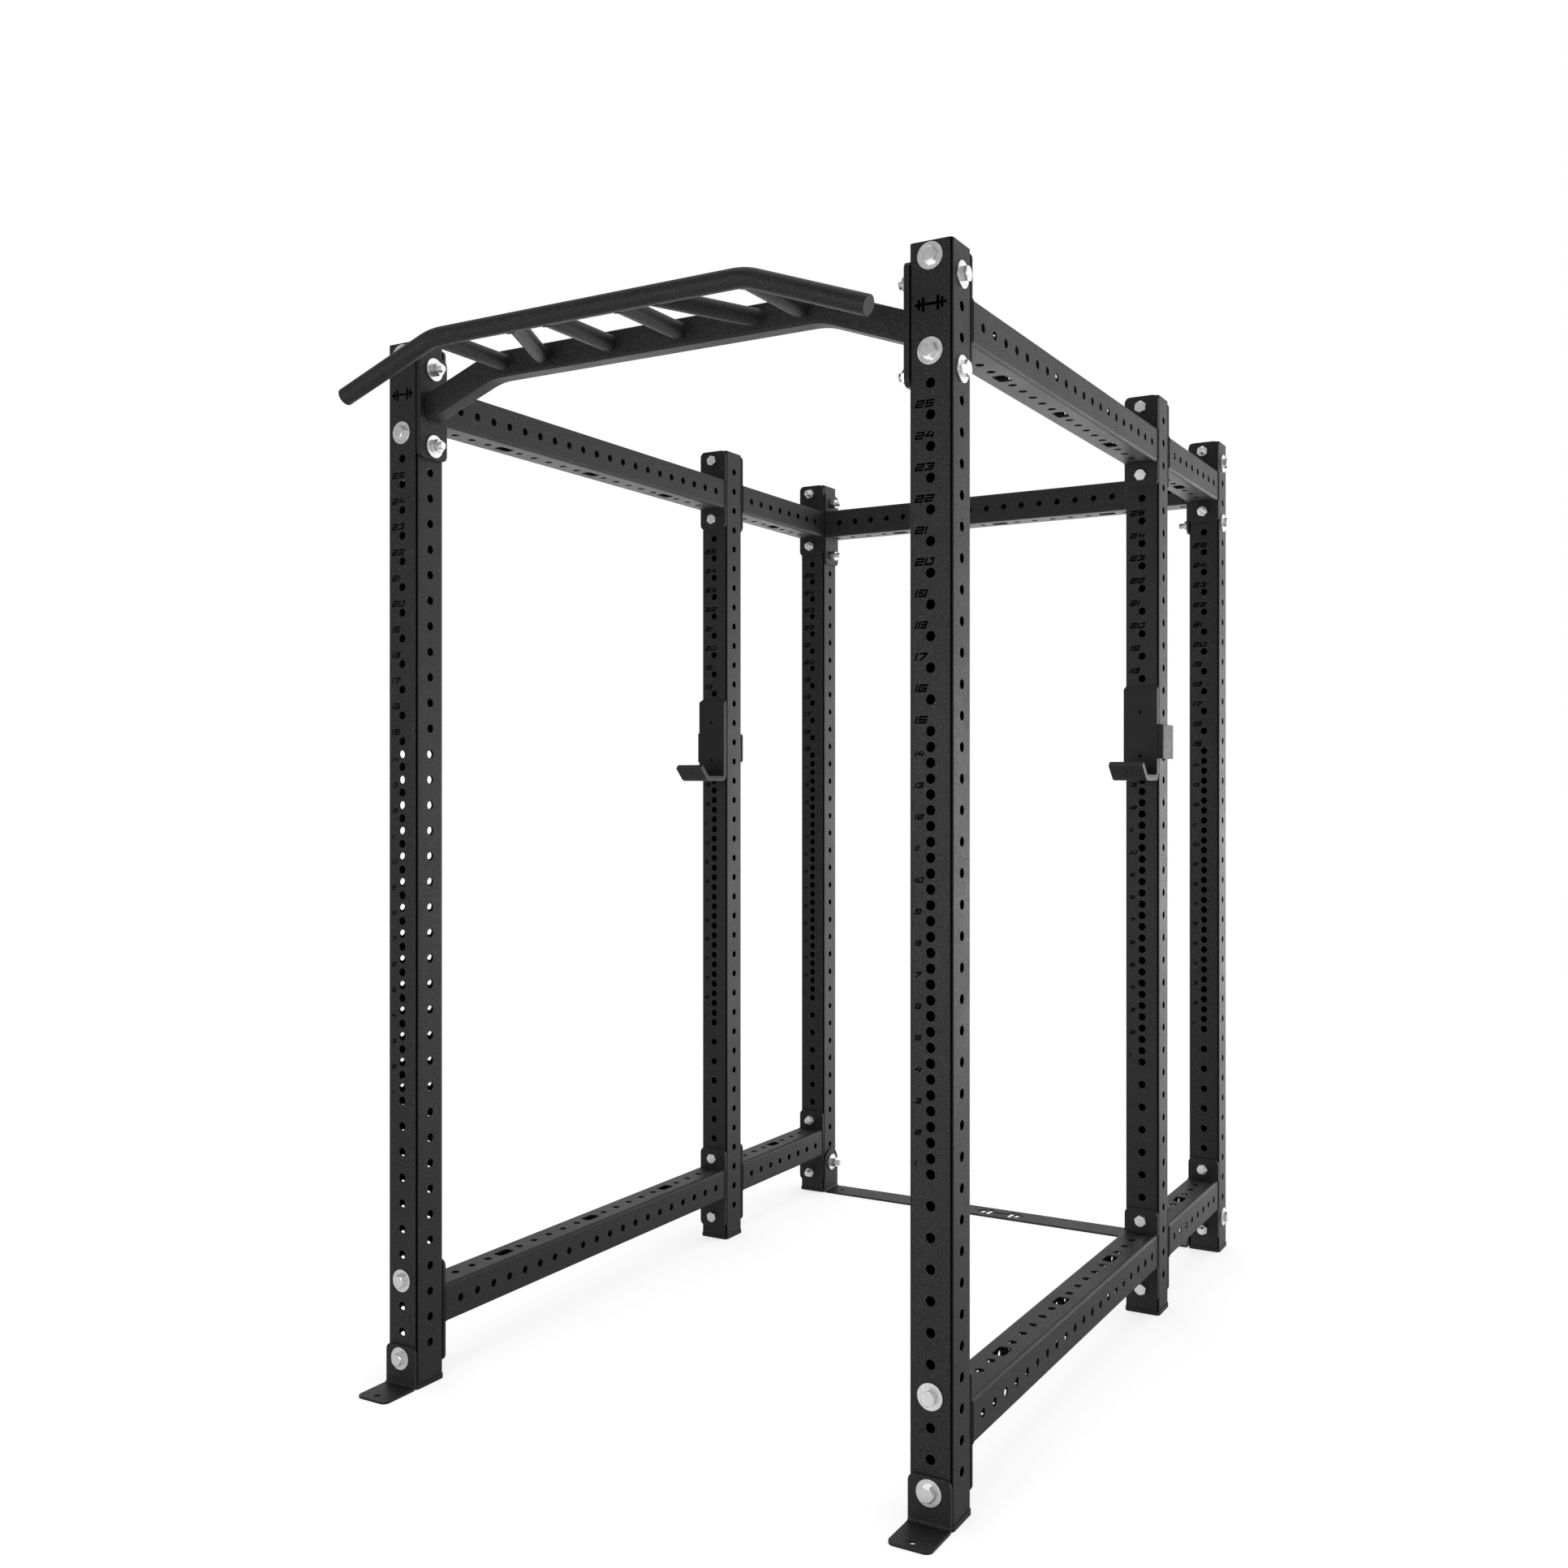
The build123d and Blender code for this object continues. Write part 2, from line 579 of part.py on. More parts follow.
def cup_outline(inset, drop):
    """A layer of the cup, `inset` from its back and underside, as (forward, up) points."""
    shell = CUP_STEEL + CUP_LINER
    rest = shell - inset
    lip_start = CUP_GAP + shell + CUP_SEAT
    foot = (lip_start + rest * tan(radians(LIP_ANGLE / 2)), CUP_BOTTOM + inset)
    tip = (lip_start + CUP_LIP_RISE + rest * cos(radians(LIP_ANGLE)),
           CUP_BOTTOM + shell + CUP_LIP_RISE - rest * cos(radians(LIP_ANGLE)))
    back = CUP_GAP + inset
    return [(back, CUP_TOP - drop), (back, CUP_BOTTOM + inset), foot, tip]


def cup_shell(inset, thickness, bend, drop=0.0):
    """A constant-thickness layer of the cup, in front of a middle post."""
    face = ROWS["mid"] - HALF
    points = [(face - forward, up) for forward, up in cup_outline(inset, drop)]
    section = bent_plate(points, thickness, Side.RIGHT, bend, Plane.YZ)
    return extrude(section, CUP_WIDTH / 2, both=True)


def cup_plate():
    """Right-hand J-shaped steel plate."""
    plate = cup_shell(0.0, CUP_STEEL, CUP_BEND)
    corners = plate.edges().filter_by(Axis.Y).group_by(Axis.Z)[-1]
    plate = Pos(POST_X, 0, 0) * fillet(corners, 8.0)
    for place in cup_screw_planes():
        plate -= screw_hole(place)
    return plate


def cup_band():
    """Band welded to the plate's outer edge, bent round the side and back of the post."""
    front = ROWS["mid"] - HALF - CUP_GAP - CUP_STEEL
    rear = ROWS["mid"] + HALF + CUP_GAP + CUP_STEEL
    outer = HALF + WRAP_PAD + CUP_STEEL
    points = [(CUP_WIDTH / 2, front), (outer, front), (outer, rear), (-HALF, rear)]
    section = bent_plate(points, CUP_STEEL, Side.LEFT, 7.5, Plane.XY)
    band = Pos(0, 0, WRAP_BOTTOM) * extrude(section, WRAP_HEIGHT)
    tip = band.edges().filter_by(Axis.Y).group_by(Axis.X)[0]
    return Pos(POST_X, 0, 0) * fillet(tip, 8.0)


def cup_liner():
    """Plastic liner over the front of the J plate, with its screw sinks."""
    inset = CUP_STEEL
    liner = cup_shell(inset, CUP_LINER, CUP_BEND - CUP_STEEL, CUP_LINER_DROP)
    corners = liner.edges().filter_by(Axis.Y).group_by(Axis.Z)[-1]
    liner = Pos(POST_X, 0, 0) * fillet(corners, 5.0)
    for place in cup_screw_planes():
        liner -= extrude(place * Circle(SCREW_HEAD / 2 + 0.2), -SCREW_SINK - 0.4)
        liner -= screw_hole(place)
    return liner


def cup_screw_planes():
    """Planes on the liner's face, facing out, at the head of each screw."""
    shell = CUP_STEEL + CUP_LINER
    face = ROWS["mid"] - HALF - CUP_GAP - shell
    planes = [Plane(origin=(POST_X, face, CUP_BOTTOM + up), x_dir=(1, 0, 0), z_dir=(0, -1, 0))
              for up in CUP_SCREWS]
    lip = (POST_X, face - CUP_SEAT - CUP_LIP_RISE / 2, CUP_BOTTOM + shell + CUP_LIP_RISE / 2)
    planes.append(Plane(origin=lip, x_dir=(1, 0, 0), z_dir=(0, 1, 1)))
    return planes


def screw_hole(place):
    """Clearance for one screw's shank through the liner and the steel."""
    through = CUP_STEEL + CUP_LINER + 1.0
    return extrude(place * Circle(SCREW_SHANK / 2 + 0.2), -through)


def cup_screws():
    """Liner screws; their tips end just inside the steel's far face."""
    length = CUP_STEEL + CUP_LINER - 0.6
    screws = []
    for place in cup_screw_planes():
        head = extrude(place.offset(-0.3) * Circle(SCREW_HEAD / 2), -SCREW_SINK)
        head += extrude(place.offset(-0.3) * Circle(SCREW_SHANK / 2), -length)
        screws.append(head - extrude(place * RegularPolygon(2.0, 6), -1.9))
    return group(screws)


def cup_pad():
    """Thin liner between the side plate and the post's outer face."""
    width = TUBE - 2 * TUBE_CORNER
    pad = Box(WRAP_PAD - CUP_GAP, width, WRAP_HEIGHT - 4,
              align=(Align.MAX, Align.CENTER, Align.MIN))
    pad = Pos(POST_X + HALF + WRAP_PAD, ROWS["mid"], WRAP_BOTTOM + 2) * pad
    return pad - drill_x(ROWS["mid"], CUP_PIN_Z, PIN + 0.4, x=POST_X + HALF)


def cup_pin():
    """Pin welded to the side plate; it enters a side hole of the post."""
    start = POST_X + HALF + WRAP_PAD
    pin = Rot(0, -90, 0) * Cylinder(PIN / 2, WRAP_PAD + PIN_REACH,
                                    align=(Align.CENTER, Align.CENTER, Align.MIN))
    pin = Pos(start, ROWS["mid"], CUP_PIN_Z) * pin
    tip = pin.faces().sort_by(Axis.X)[0].edges()
    return chamfer(tip, 2.0)


def both_cups():
    """The right cup's pieces and their mirror images on the left."""
    right = {"jcup_plate": cup_plate(), "jcup_band": cup_band(),
             "jcup_liner": cup_liner(), "jcup_side_pad": cup_pad(),
             "jcup_pin": cup_pin(), "jcup_screws": cup_screws()}
    nodes = {}
    for name, shape in right.items():
        nodes[f"{name}_right"] = shape
        nodes[f"{name}_left"] = mirror(shape, about=Plane.YZ)
    return nodes


# ---- the whole cage -------------------------------------------------------

def frame_nodes():
    nodes = {}
    upright, plug = post(), top_plug()
    plugs = []
    for row, y in ROWS.items():
        for name, side in SIDES.items():
            place = Pos(side * POST_X, y, 0)
            inner_flush = -side if row == "rear" else 0
            cap = foot_cap(flush_front=(row == "front"), flush_side=inner_flush)
            nodes[f"upright_{row}_{name}"] = place * upright
            nodes[f"foot_cap_{row}_{name}"] = place * cap
            plugs.append(place * plug)
    nodes["top_plugs"] = group(plugs)
    for name, side in SIDES.items():
        nodes[f"foot_bracket_{name}"] = foot_bracket(side)
    nodes["rear_floor_strap"] = floor_strap()
    return nodes


def pullup_nodes():
    solid_bar = bar_solid()
    nodes = {"pullup_rail": pullup_rail(), "pullup_end_plates": pullup_plates(),
             "pullup_bar": bar_solid(BAR_WALL), "pullup_bar_end_caps": bar_caps()}
    for number, (x_bar, x_rail) in enumerate(GRIPS, start=1):
        nodes[f"pullup_grip_{number}"] = grip(x_bar, x_rail, solid_bar)
    return nodes


def main():
    os.makedirs("parts", exist_ok=True)
    nodes = {**frame_nodes(), **beam_nodes(), **pullup_nodes(), **both_cups(), **fasteners()}
    for name, shape in nodes.items():
        export_node(shape if isinstance(shape, Compound) else Compound(children=[shape]), name)


main()
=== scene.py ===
import json
from math import cos, pi, radians, sin, sqrt

import bpy
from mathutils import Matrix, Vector


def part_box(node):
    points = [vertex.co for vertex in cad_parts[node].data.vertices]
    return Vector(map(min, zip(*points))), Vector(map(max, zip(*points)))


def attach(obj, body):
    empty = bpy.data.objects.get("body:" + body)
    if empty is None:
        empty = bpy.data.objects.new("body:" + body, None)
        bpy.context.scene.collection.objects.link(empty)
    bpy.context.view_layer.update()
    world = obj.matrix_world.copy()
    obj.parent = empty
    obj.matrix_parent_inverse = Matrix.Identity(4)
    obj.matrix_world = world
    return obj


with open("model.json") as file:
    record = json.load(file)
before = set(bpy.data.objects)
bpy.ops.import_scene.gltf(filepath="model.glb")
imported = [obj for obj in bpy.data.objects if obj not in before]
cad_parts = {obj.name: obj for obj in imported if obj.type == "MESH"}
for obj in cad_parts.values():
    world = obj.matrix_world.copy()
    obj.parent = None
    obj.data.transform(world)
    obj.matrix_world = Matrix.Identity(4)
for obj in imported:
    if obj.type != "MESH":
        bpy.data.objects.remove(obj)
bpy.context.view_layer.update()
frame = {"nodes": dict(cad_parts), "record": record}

NODES = frame["nodes"]
MM = 0.001

# ---------------------------------------------------------------- driving sizes

POST_LOW, POST_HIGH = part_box("upright_front_right")
POST_X = (POST_LOW.x + POST_HIGH.x) / 2
POST_ROWS = [sum(corner.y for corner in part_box(f"upright_{row}_left")) / 2
             for row in ("front", "mid", "rear")]
TUBE_HALF = (POST_HIGH.x - POST_LOW.x) / 2
TUBE_CORNER = 7.0 * MM
SKIN_DEPTH = 0.5 * MM                   # down to here a post keeps its coat
DARK_DEPTH = 1.2 * MM                   # and from here inwards it is painted near black, painted shade inside the tube

BAR_RADIUS = 16.7 * MM
RAIL_HALF_END = 27.0 * MM               # half height of the sloping rail at its end plate
RAIL_CORNER = 5.0 * MM
SLANT_SPREAD = 1.11                     # how much wider a slanted grip's cut end is

FRAME_BEAD = 2.6 * MM
GRIP_BEAD = 2.2 * MM
JCUP_BEAD = 1.8 * MM
JCUP_BEAD_INSET = 1.0 * MM
BEAD_STEP = 1.1 * MM
BEAD_SIDES = 8
RIPPLE_LENGTH = 3.0                     # in steps along the bead
GRIP_STEPS = 48
CORNER_STEPS = 8

WHITE = (1.0, 1.0, 1.0)
BLACK = (0.0, 0.0, 0.0)
COAT_DARK = (0.0068, 0.0068, 0.0072)
COAT_LIGHT = (0.0100, 0.0100, 0.0105)
COAT_SPECK = (0.058, 0.058, 0.060)
# paler coat for sharp edges: part wear, part painted highlight
COAT_WEAR_AND_HIGHLIGHT = (0.080, 0.080, 0.082)
# painted shade: near black colour for the hollow insides of the posts
PAINTED_SHADE_INSIDE = (0.0008, 0.0008, 0.0008)
ZINC_DARK = (0.76, 0.765, 0.775)
ZINC_LIGHT = (0.82, 0.817, 0.805)
# painted highlight: lighter zinc colour for sharp edges
ZINC_EDGE_HIGHLIGHT = (0.86, 0.86, 0.86)

NOISE_ROUGHNESS = 0.55
BEVEL_SAMPLES = 6

# ---------------------------------------------------------------- node helpers


class Graph:
    """Shorthand for building the node tree of a material or of the world."""

    def __init__(self, owner, output_kind):
        owner.use_nodes = True
        self.tree = owner.node_tree
        self.tree.nodes.clear()
        self.output = self.node(output_kind)

    def node(self, kind, **values):
        made = self.tree.nodes.new(kind)
        for key, value in values.items():
            setattr(made, key, value)
        return made

    def link(self, source, target):
        self.tree.links.new(source, target)

    def feed(self, socket, value):
        """Set a socket to a number or a colour, or link another node's output to it."""
        if isinstance(value, (int, float)):
            socket.default_value = value
        elif isinstance(value, tuple):
            socket.default_value = (*value, 1)
        else:
            self.link(value, socket)

    def fed(self, kind, **values):
        """A new node with its named inputs fed; a name's spaces are underscores."""
        made = self.node(kind)
        for name, value in values.items():
            self.feed(made.inputs[name.replace("_", " ")], value)
        return made

    def remap(self, value, low, high, to_low, to_high):
        made = self.fed("ShaderNodeMapRange", Value=value, From_Min=low, From_Max=high,
                        To_Min=to_low, To_Max=to_high)
        return made.outputs["Result"]

    def math(self, operation, *values):
        made = self.node("ShaderNodeMath", operation=operation)
        for socket, value in zip(made.inputs, values):
            self.feed(socket, value)
        return made.outputs[0]

    def mix(self, factor, first, second):
        """A blend of two colours."""
        made = self.node("ShaderNodeMix", data_type="RGBA")
        self.feed(made.inputs["Factor"], factor)
        colours = [socket for socket in made.inputs if socket.type == "RGBA"]
        for socket, colour in zip(colours, (first, second)):
            self.feed(socket, colour)
        return [socket for socket in made.outputs if socket.type == "RGBA"][0]


class Surface(Graph):
    """A material's node tree, round one principled shader."""

    def __init__(self, name):
        self.material = bpy.data.materials.new(name)
        super().__init__(self.material, "ShaderNodeOutputMaterial")
        self.shader = self.node("ShaderNodeBsdfPrincipled")
        self.link(self.shader.outputs["BSDF"], self.output.inputs["Surface"])
        self.coords = self.node("ShaderNodeTexCoord").outputs["Object"]

    def set(self, **values):
        for name, value in values.items():
            self.feed(self.shader.inputs[name.replace("_", " ")], value)

    def noise(self, scale, detail, stretch=None):
        place = self.coords
        if stretch:
            mapping = self.node("ShaderNodeMapping")
            mapping.inputs["Scale"].default_value = stretch
            self.link(place, mapping.inputs["Vector"])
            place = mapping.outputs["Vector"]
        made = self.fed("ShaderNodeTexNoise", Vector=place, Scale=scale, Detail=detail,
                        Roughness=NOISE_ROUGHNESS)
        return made.outputs["Fac"]

    def edges(self, radius):
        """1 along sharp edges, 0 on flats, and the rounded normal there."""
        bevel = self.node("ShaderNodeBevel", samples=BEVEL_SAMPLES)
        self.feed(bevel.inputs["Radius"], radius)
        geometry = self.node("ShaderNodeNewGeometry")
        dot = self.node("ShaderNodeVectorMath", operation="DOT_PRODUCT")
        self.link(bevel.outputs["Normal"], dot.inputs[0])
        self.link(geometry.outputs["Normal"], dot.inputs[1])
        mask = self.remap(dot.outputs["Value"], 0.995, 0.85, 0.0, 1.0)
        return mask, bevel.outputs["Normal"]

    def bump(self, height, strength, distance, normal):
        made = self.fed("ShaderNodeBump", Height=height, Strength=strength,
                        Distance=distance, Normal=normal)
        return made.outputs["Normal"]


# ---------------------------------------------------------------- materials


def painted_shade_in_posts(surface):
    """1 inside the posts and in whatever is cut into their faces, 0 on their skin; where it is 1
    the coat gets painted shade.
    """
    split = surface.fed("ShaderNodeSeparateXYZ", Vector=surface.coords)
    side = surface.math("ABSOLUTE", split.outputs["X"])
    across = surface.math("ABSOLUTE", surface.math("SUBTRACT", side, POST_X))
    front, mid, rear = [surface.math("ABSOLUTE", surface.math("SUBTRACT", split.outputs["Y"], row))
                        for row in POST_ROWS]
    along = surface.math("MINIMUM", surface.math("MINIMUM", front, mid), rear)
    return surface.remap(surface.math("MAXIMUM", across, along), TUBE_HALF - SKIN_DEPTH,
                         TUBE_HALF - DARK_DEPTH, 0.0, 1.0)


def powder_coat(name, posts=False):
    """Matte black powder coat: a fine grain over a faint orange peel, paler at edges as wear and
    painted highlight.
    """
    surface = Surface(name)
    grain = surface.noise(560, 2.0)
    peel = surface.noise(260, 3.0)
    cloud = surface.noise(7, 4.0)
    speck = surface.remap(grain, 0.54, 0.68, 0.0, 1.0)
    edge, rounded = surface.edges(1.2 * MM)
    base = surface.mix(surface.remap(cloud, 0.3, 0.7, 0.0, 1.0), COAT_DARK, COAT_LIGHT)
    base = surface.mix(surface.math("MULTIPLY", speck, 0.85), base, COAT_SPECK)
    # painted highlight with some wear: sharp edges lightened towards the paler coat
    base = surface.mix(surface.math("MULTIPLY", edge, 0.50), base, COAT_WEAR_AND_HIGHLIGHT)
    if posts:
        # painted shade: inside the posts the colour turns near black and the reflections are
        # tinted out
        inside = painted_shade_in_posts(surface)
        base = surface.mix(inside, base, PAINTED_SHADE_INSIDE)
        surface.set(Specular_Tint=surface.mix(inside, WHITE, BLACK))
    rough = surface.math("ADD", surface.remap(peel, 0.3, 0.7, 0.47, 0.60),
                         surface.remap(cloud, 0.3, 0.7, -0.03, 0.04))
    height = surface.math("ADD", surface.math("MULTIPLY", grain, 0.6),
                          surface.math("MULTIPLY", peel, 0.8))
    surface.set(Base_Color=base, Roughness=rough, Specular_IOR_Level=0.28,
                Normal=surface.bump(height, 0.55, 0.28 * MM, rounded))
    return surface.material


def zinc():
    """Bright zinc plate, a little clouded, with fine turning marks and a painted highlight along
    its edges.
    """
    surface = Surface("zinc")
    cloud = surface.noise(90, 4.0)
    fine = surface.noise(1100, 3.0)
    marks = surface.noise(500, 2.0, stretch=(1, 1, 9))
    edge, rounded = surface.edges(0.5 * MM)
    base = surface.mix(surface.remap(cloud, 0.35, 0.65, 0.0, 1.0), ZINC_DARK, ZINC_LIGHT)
    # painted highlight: sharp edges lightened
    base = surface.mix(surface.math("MULTIPLY", edge, 0.5), base, ZINC_EDGE_HIGHLIGHT)
    rough = surface.math("ADD", surface.remap(cloud, 0.3, 0.7, 0.30, 0.37),
                         surface.remap(fine, 0.3, 0.7, -0.02, 0.03))
    height = surface.math("ADD", surface.math("MULTIPLY", fine, 0.5), marks)
    surface.set(Base_Color=base, Roughness=rough, Metallic=1.0,
                Normal=surface.bump(height, 0.20, 0.02 * MM, rounded))
    return surface.material


def black_surface(name, dark, light, rough, grain_scale, grain_depth,
                  stretch=None, specular=0.25):
    """Matte black plastic or blackened steel, clouded and finely grained, paler at edges as wear
    and painted highlight.
    """
    surface = Surface(name)
    cloud = surface.noise(14, 3.0)
    grain = surface.noise(grain_scale, 2.0, stretch)
    edge, rounded = surface.edges(0.8 * MM)
    # paler colour for sharp edges: part wear, part painted highlight
    wear_and_highlight = tuple(2.5 * channel for channel in light)
    base = surface.mix(surface.remap(cloud, 0.3, 0.7, 0.0, 1.0), dark, light)
    base = surface.mix(surface.math("MULTIPLY", edge, 0.4), base, wear_and_highlight)
    surface.set(Base_Color=base, Roughness=surface.remap(grain, 0.3, 0.7, *rough),
                Specular_IOR_Level=specular,
                Normal=surface.bump(grain, 0.35, grain_depth, rounded))
    return surface.material


COAT = powder_coat("powder_coat")
POST_COAT_AND_INNER_SHADE = powder_coat("powder_coat_posts_inner_shade", posts=True)
MATERIALS = {
    "powder_coat": COAT,
    "black_oxide": black_surface("black_oxide", (0.002, 0.002, 0.002), (0.004, 0.004, 0.004),
                                 rough=(0.50, 0.60), grain_scale=900,
                                 grain_depth=0.03 * MM, specular=0.06),
    "zinc": zinc(),
    "black_plastic": black_surface("black_plastic", (0.010, 0.010, 0.011),
                                   (0.016, 0.016, 0.017), rough=(0.42, 0.58),
                                   grain_scale=1300, grain_depth=0.08 * MM),
    "liner_plastic": black_surface("liner_plastic", (0.009, 0.009, 0.0095),
                                   (0.013, 0.013, 0.0135), rough=(0.50, 0.64),
                                   grain_scale=420, grain_depth=0.04 * MM,
                                   stretch=(5, 1, 1)),
}

SLOTS = {part["node"]: part["material_slot"] for part in frame["record"]["subparts"]}
for name, node in NODES.items():
    node.data.materials.clear()
    is_post = name.startswith("upright_")
    node.data.materials.append(POST_COAT_AND_INNER_SHADE if is_post else MATERIALS[SLOTS[name]])

# ---------------------------------------------------------------- weld beads


def swelling(step):
    """Share of its radius that a bead has at a step: a ripple, and a slower drift."""
    return 0.92 + 0.10 * cos(2 * pi * step / RIPPLE_LENGTH) + 0.05 * sin(0.37 * step)


def bead(name, path, body, radius, closed=True):
    """A round weld bead along a path of points, swelling a little as it goes."""
    points = [Vector(p) for p in path]
    dense = []
    count = len(points)
    for i in range(count if closed else count - 1):
        a, b = points[i], points[(i + 1) % count]
        steps = max(1, round((b - a).length / BEAD_STEP))
        dense += [a.lerp(b, k / steps) for k in range(steps)]
    if not closed:
        dense.append(points[-1])
    total = len(dense)
    vertices, faces = [], []
    for i, point in enumerate(dense):
        ahead = dense[(i + 1) % total] if closed or i + 1 < total else point
        behind = dense[i - 1] if closed or i else point
        along = (ahead - behind).normalized()
        across = along.orthogonal().normalized()
        up = along.cross(across)
        swell = radius * swelling(i)
        for k in range(BEAD_SIDES):
            angle = 2 * pi * k / BEAD_SIDES
            vertices.append(point + across * (swell * cos(angle)) + up * (swell * sin(angle)))
    rings = total if closed else total - 1
    for i in range(rings):
        a, b = i * BEAD_SIDES, ((i + 1) % total) * BEAD_SIDES
        for k in range(BEAD_SIDES):
            n = (k + 1) % BEAD_SIDES
            faces.append((a + k, a + n, b + n, b + k))
    if not closed:
        faces.append(tuple(range(BEAD_SIDES)))
        last = (total - 1) * BEAD_SIDES
        faces.append(tuple(reversed(range(last, last + BEAD_SIDES))))
    mesh = bpy.data.meshes.new(name)
    mesh.from_pydata(vertices, [], faces)
    mesh.update()
    for polygon in mesh.polygons:
        polygon.use_smooth = True
    piece = bpy.data.objects.new(name, mesh)
    bpy.context.scene.collection.objects.link(piece)
    mesh.materials.append(COAT)
    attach(piece, body)


def rounded_loop(half_width, half_height, corner):
    """Points of a rounded rectangle, as (across, up) pairs."""
    loop = []
    for quarter, (side, end) in enumerate(((1, 1), (-1, 1), (-1, -1), (1, -1))):
        for k in range(CORNER_STEPS + 1):
            angle = pi / 2 * (quarter + k / CORNER_STEPS)
            loop.append((side * (half_width - corner) + corner * cos(angle),
                         end * (half_height - corner) + corner * sin(angle)))
    return loop


# ---------------------------------------------------------------- beam welds


def beam_beads():
    """A bead round both ends of every beam tube, against its end plates."""
    loop = rounded_loop(TUBE_HALF, TUBE_HALF, TUBE_CORNER)
    for name in sorted(NODES):
        if "beam" not in name and name != "rear_crossmember":
            continue
        if name.endswith("plates"):
            continue
        low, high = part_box(name)
        middle = (low + high) / 2
        along_x = name == "rear_crossmember"
        for end, edge in (("a", low), ("b", high)):
            if along_x:
                path = [(edge.x, middle.y + across, middle.z + up) for across, up in loop]
            else:
                path = [(middle.x + across, edge.y, middle.z + up) for across, up in loop]
            bead(f"weld_{name}_{end}", path, "frame", FRAME_BEAD)


beam_beads()

# ---------------------------------------------------------------- pull-up bar welds

grip_low, grip_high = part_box("pullup_grip_3")
rail_low, rail_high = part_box("pullup_rail")
GRIP_RADIUS = (grip_high.x - grip_low.x) / 2
GRIP_Z = (grip_low.z + grip_high.z) / 2
BAR_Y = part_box("pullup_bar")[0].y + BAR_RADIUS
RAIL_FRONT = rail_low.y


def grip_beads(number):
    """Beads where a grip meets the bar and the rail."""
    low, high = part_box(f"pullup_grip_{number}")
    slanted = high.x - low.x > 3 * GRIP_RADIUS
    side = -1 if number <= 3 else 1
    if slanted:
        inner, outer = sorted((abs(low.x), abs(high.x)))
        spread = GRIP_RADIUS * SLANT_SPREAD
        x_bar, x_rail = side * (inner + spread), side * (outer - spread)
    else:
        x_bar = x_rail = (low.x + high.x) / 2
    along = Vector((x_rail - x_bar, RAIL_FRONT - BAR_Y, 0)).normalized()
    across = Vector((-along.y, along.x, 0))
    at_bar, at_rail = [], []
    for k in range(GRIP_STEPS):
        angle = 2 * pi * k / GRIP_STEPS
        rise, shift = GRIP_RADIUS * cos(angle), GRIP_RADIUS * sin(angle)
        reach = sqrt(max(BAR_RADIUS ** 2 - rise ** 2, 0))
        travel = (reach - shift * across.y) / along.y
        at_bar.append((x_bar + along.x * travel + across.x * shift, BAR_Y + reach,
                       GRIP_Z + rise))
        travel = (RAIL_FRONT - BAR_Y - shift * across.y) / along.y
        at_rail.append((x_bar + along.x * travel + across.x * shift, RAIL_FRONT,
                        GRIP_Z + rise))
    bead(f"weld_grip_{number}_bar", at_bar, "frame", GRIP_BEAD)
    bead(f"weld_grip_{number}_rail", at_rail, "frame", GRIP_BEAD)


def rail_beads():
    """A bead round each end of the pull-up rail, against its end plate."""
    plate_low, plate_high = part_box("pullup_end_plates")
    middle = (plate_low + plate_high) / 2
    loop = rounded_loop((rail_high.y - rail_low.y) / 2, RAIL_HALF_END, RAIL_CORNER)
    for side, name in ((-1, "left"), (1, "right")):
        path = [(side * rail_high.x, middle.y + across, middle.z + up) for across, up in loop]
        bead(f"weld_pullup_rail_{name}", path, "frame", FRAME_BEAD)


for number in range(1, 7):
    grip_beads(number)
rail_beads()

# ---------------------------------------------------------------- J-cup welds


def jcup_bead(name):
    """An upright bead on the front seam between the band and the plate's outer edge."""
    band_low, band_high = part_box(f"jcup_band_{name}")
    plate_low, plate_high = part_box(f"jcup_plate_{name}")
    x = plate_low.x if name == "left" else plate_high.x
    path = [(x, band_low.y, band_low.z + JCUP_BEAD_INSET),
            (x, band_low.y, band_high.z - JCUP_BEAD_INSET)]
    bead(f"weld_jcup_{name}", path, f"jcup_{name}", JCUP_BEAD, closed=False)


for name in ("left", "right"):
    jcup_bead(name)

# ---------------------------------------------------------------- studio

FLOOR_SIZE = 400.0
FLOOR_DARK = (0.49, 0.49, 0.49)
FLOOR_LIGHT = (0.51, 0.51, 0.51)
FLOOR_SEEN = 0.69                       # the floor's glow as the camera sees it
FLOOR_FRONT = 0.25                      # the glow that lights the cage, before GLOW_NEAR
FLOOR_BACK = 2.30                       # and beyond GLOW_FAR
GLOW_NEAR = 0.5                         # metres along Y
GLOW_FAR = 4.5
BACK_LIGHT = 1.7                        # what the backdrop gives from behind the cage
FRONT_LIGHT = 0.50                      # and from in front of it
HIGH_SHARE = 0.45                       # light from well above, over light from the horizon
CAMERA_PLACE = (1.59016, -3.02197, 1.19153)
CAMERA_TURN = 30


def camera_only(graph):
    """1 for what the camera sees directly, 0 for light on its way to the cage."""
    return graph.node("ShaderNodeLightPath").outputs["Is Camera Ray"]


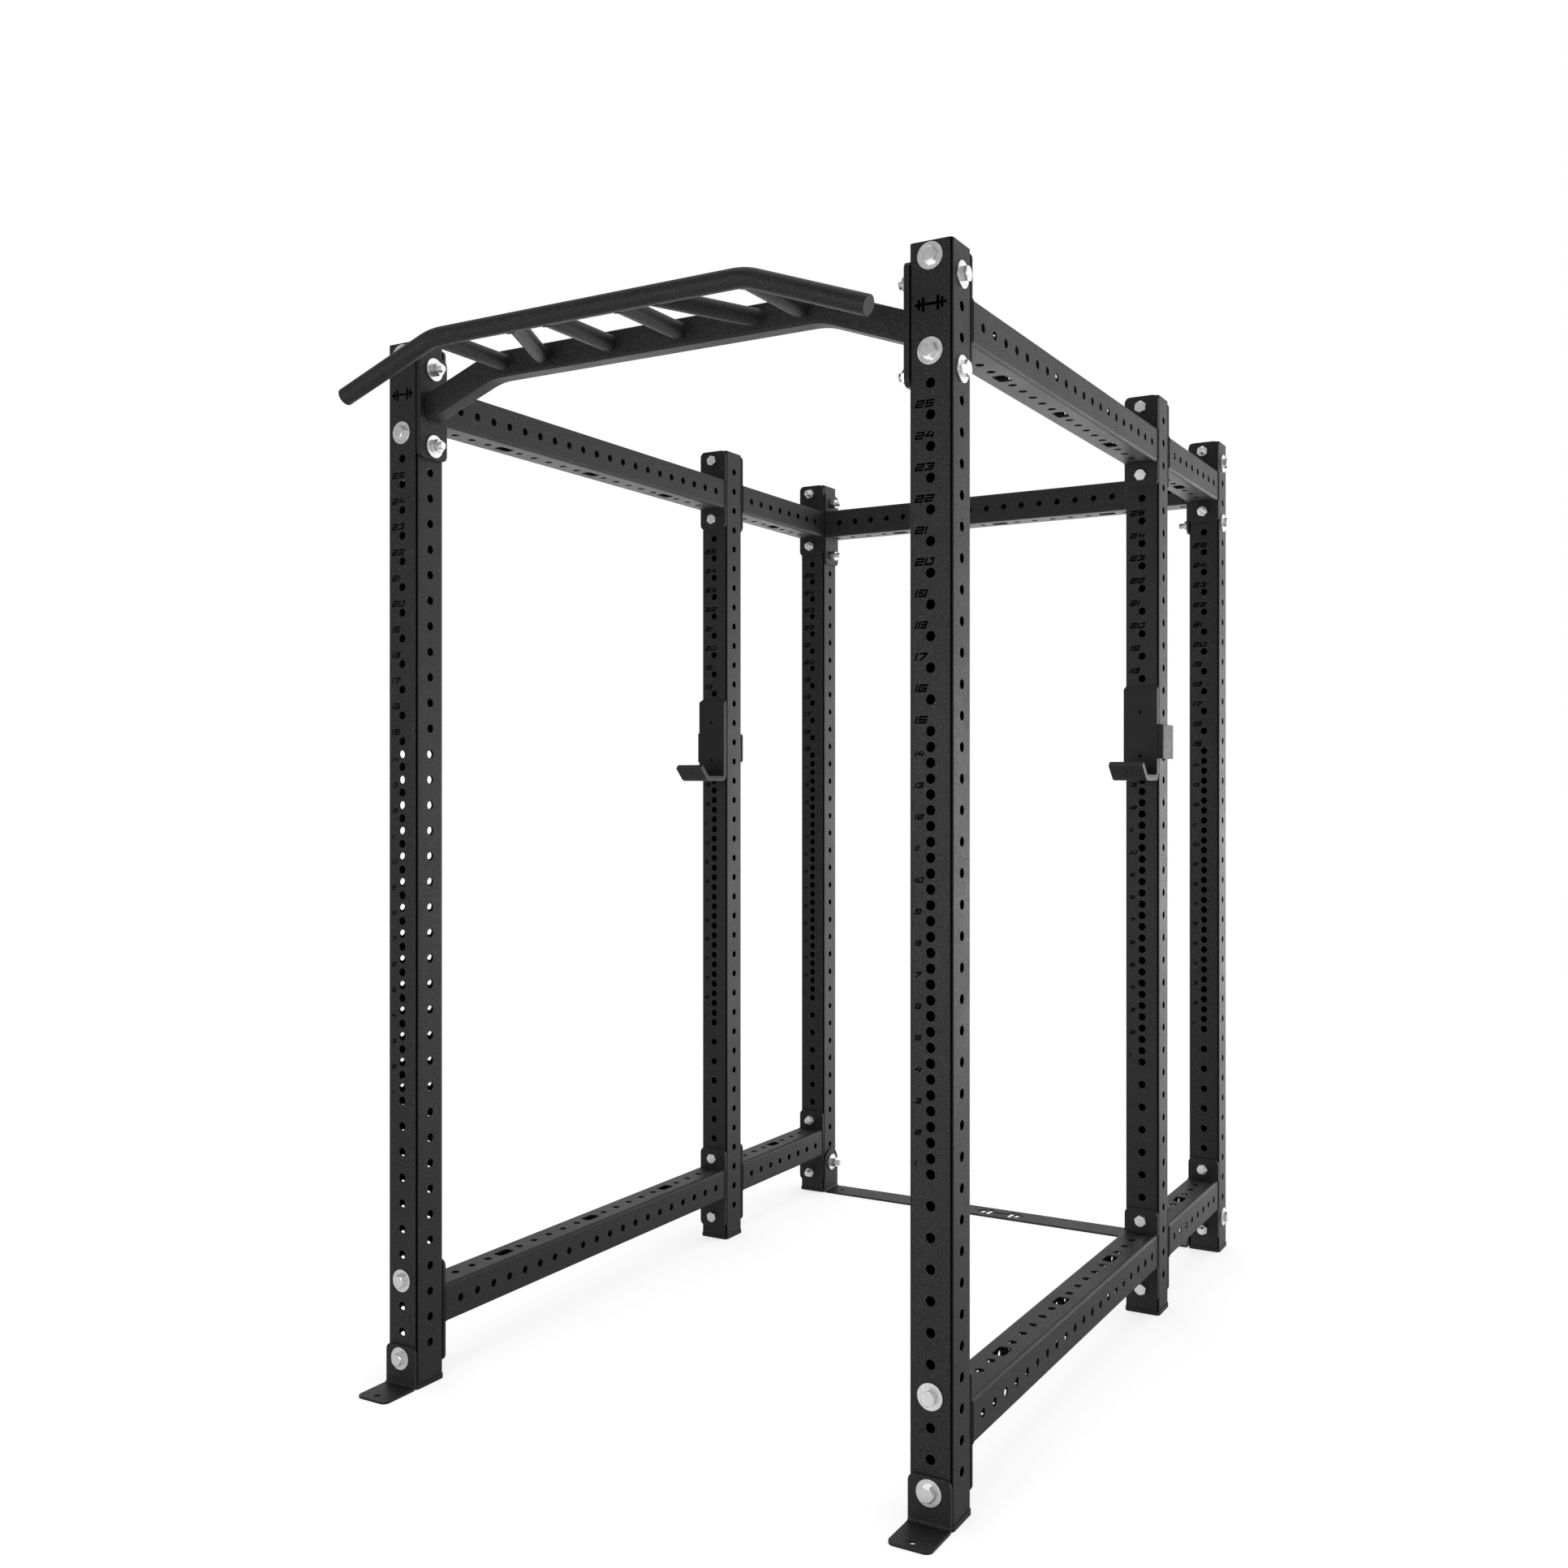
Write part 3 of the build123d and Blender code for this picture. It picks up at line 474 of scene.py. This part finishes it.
def make_floor():
    """Pale floor; its glow is even to the camera, but lights the cage more from behind."""
    surface = Surface("studio_floor")
    tone = surface.mix(surface.remap(surface.noise(0.8, 3.0), 0.3, 0.7, 0.0, 1.0),
                       FLOOR_DARK, FLOOR_LIGHT)
    split = surface.fed("ShaderNodeSeparateXYZ", Vector=surface.coords)
    given = surface.remap(split.outputs["Y"], GLOW_NEAR, GLOW_FAR, FLOOR_FRONT, FLOOR_BACK)
    extra = surface.math("MULTIPLY", camera_only(surface),
                         surface.math("SUBTRACT", FLOOR_SEEN, given))
    surface.set(Base_Color=tone, Roughness=0.9, Specular_IOR_Level=0.1, Emission_Color=WHITE,
                Emission_Strength=surface.math("ADD", given, extra))
    mesh = bpy.data.meshes.new("studio_floor")
    half = FLOOR_SIZE / 2
    mesh.from_pydata([(-half, -half, 0), (half, -half, 0), (half, half, 0), (-half, half, 0)],
                     [], [(0, 1, 2, 3)])
    mesh.materials.append(surface.material)
    floor = bpy.data.objects.new("studio_floor", mesh)
    bpy.context.scene.collection.objects.link(floor)


def make_world():
    """White backdrop; the light it gives is strongest low down and behind the cage."""
    world = bpy.data.worlds.new("studio")
    bpy.context.scene.world = world
    graph = Graph(world, "ShaderNodeOutputWorld")
    coords = graph.node("ShaderNodeTexCoord").outputs["Generated"]
    split = graph.fed("ShaderNodeSeparateXYZ", Vector=coords)
    sweep = graph.remap(split.outputs["Y"], 0.5, -0.7, BACK_LIGHT, FRONT_LIGHT)
    height = graph.remap(split.outputs["Z"], 0.0, 0.5, 1.0, HIGH_SHARE)
    seen = graph.fed("ShaderNodeBackground", Color=WHITE, Strength=1.0)
    given = graph.fed("ShaderNodeBackground", Color=WHITE,
                      Strength=graph.math("MULTIPLY", sweep, height))
    mixed = graph.node("ShaderNodeMixShader")
    for socket, source in zip(mixed.inputs, (camera_only(graph), given.outputs[0],
                                             seen.outputs[0])):
        graph.link(source, socket)
    graph.link(mixed.outputs[0], graph.output.inputs["Surface"])


def softbox(name, place, target, size, power):
    lamp = bpy.data.lights.new(name, "AREA")
    lamp.shape = "RECTANGLE"
    lamp.size, lamp.size_y = size
    lamp.energy = power
    light = bpy.data.objects.new(name, lamp)
    light.location = place
    aim = Vector(target) - Vector(place)
    light.rotation_euler = aim.to_track_quat("-Z", "Y").to_euler()
    bpy.context.scene.collection.objects.link(light)


def make_camera():
    """Level camera about 1.2 m up, ahead of the cage and to its right."""
    camera = bpy.data.objects.new("camera", bpy.data.cameras.new("camera"))
    camera.data.lens = 35.0
    camera.data.sensor_width = 36.0
    camera.location = CAMERA_PLACE
    camera.rotation_euler = (radians(90), 0, radians(CAMERA_TURN))
    bpy.context.scene.collection.objects.link(camera)
    bpy.context.scene.camera = camera


make_floor()
make_world()
softbox("overhead", place=(0.6, 0.0, 5.0), target=(0, 0.1, 0), size=(4.0, 4.0), power=40)
softbox("front", place=(-0.4, -4.6, 0.9), target=(0.1, -0.4, 0.9), size=(2.0, 2.2), power=66)
softbox("back_right", place=(3.0, 6.0, 0.9), target=(0.5, 0.3, 0.7), size=(5.0, 1.8), power=72)
make_camera()
bpy.context.scene.view_settings.view_transform = "Standard"
